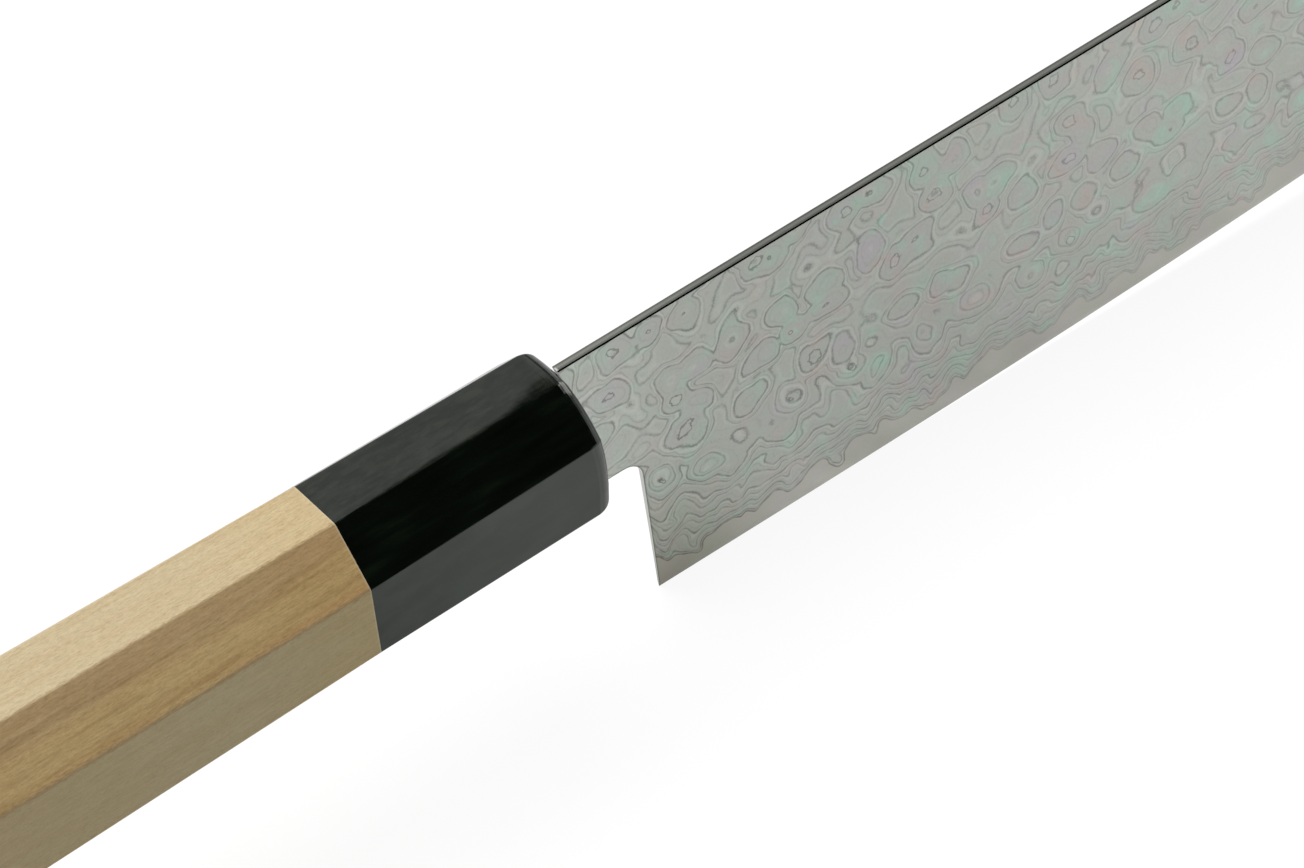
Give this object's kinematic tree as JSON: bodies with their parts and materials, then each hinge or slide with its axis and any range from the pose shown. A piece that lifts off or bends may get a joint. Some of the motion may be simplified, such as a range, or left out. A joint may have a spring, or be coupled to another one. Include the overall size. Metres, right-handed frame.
{
  "type": "nakiri kitchen knife",
  "caption": "Straight-edged vegetable knife: layered steel blade with a hard core and hidden tang, black horn ferrule, pale octagonal wooden handle",
  "frame": {"origin": "Middle of the knife's length and of its thickness, on the level of the cutting edge: bottom centre of the bounding box", "axes": "+X from the butt to the blade's tip, +Y to the left side of the blade, +Z from the cutting edge up to the spine"},
  "size_m": [0.3062, 0.0224, 0.0484],
  "materials": {
    "core_steel": "ground bright along the edge, brushed on the spine",
    "layered_steel": "etched satin with a raindrop pattern of forged layers",
    "black_horn": "polished black horn",
    "pale_wood": "sanded bare wood with a fine straight grain",
    "set_adhesive": "set adhesive, hidden in the ferrule"
  },
  "bodies": {
    "root": {"core_steel": "core_steel", "cladding_left": "layered_steel", "cladding_right": "layered_steel", "ferrule": "black_horn", "handle_body": "pale_wood", "tang_adhesive": "set_adhesive"}
  },
  "joints": []
}
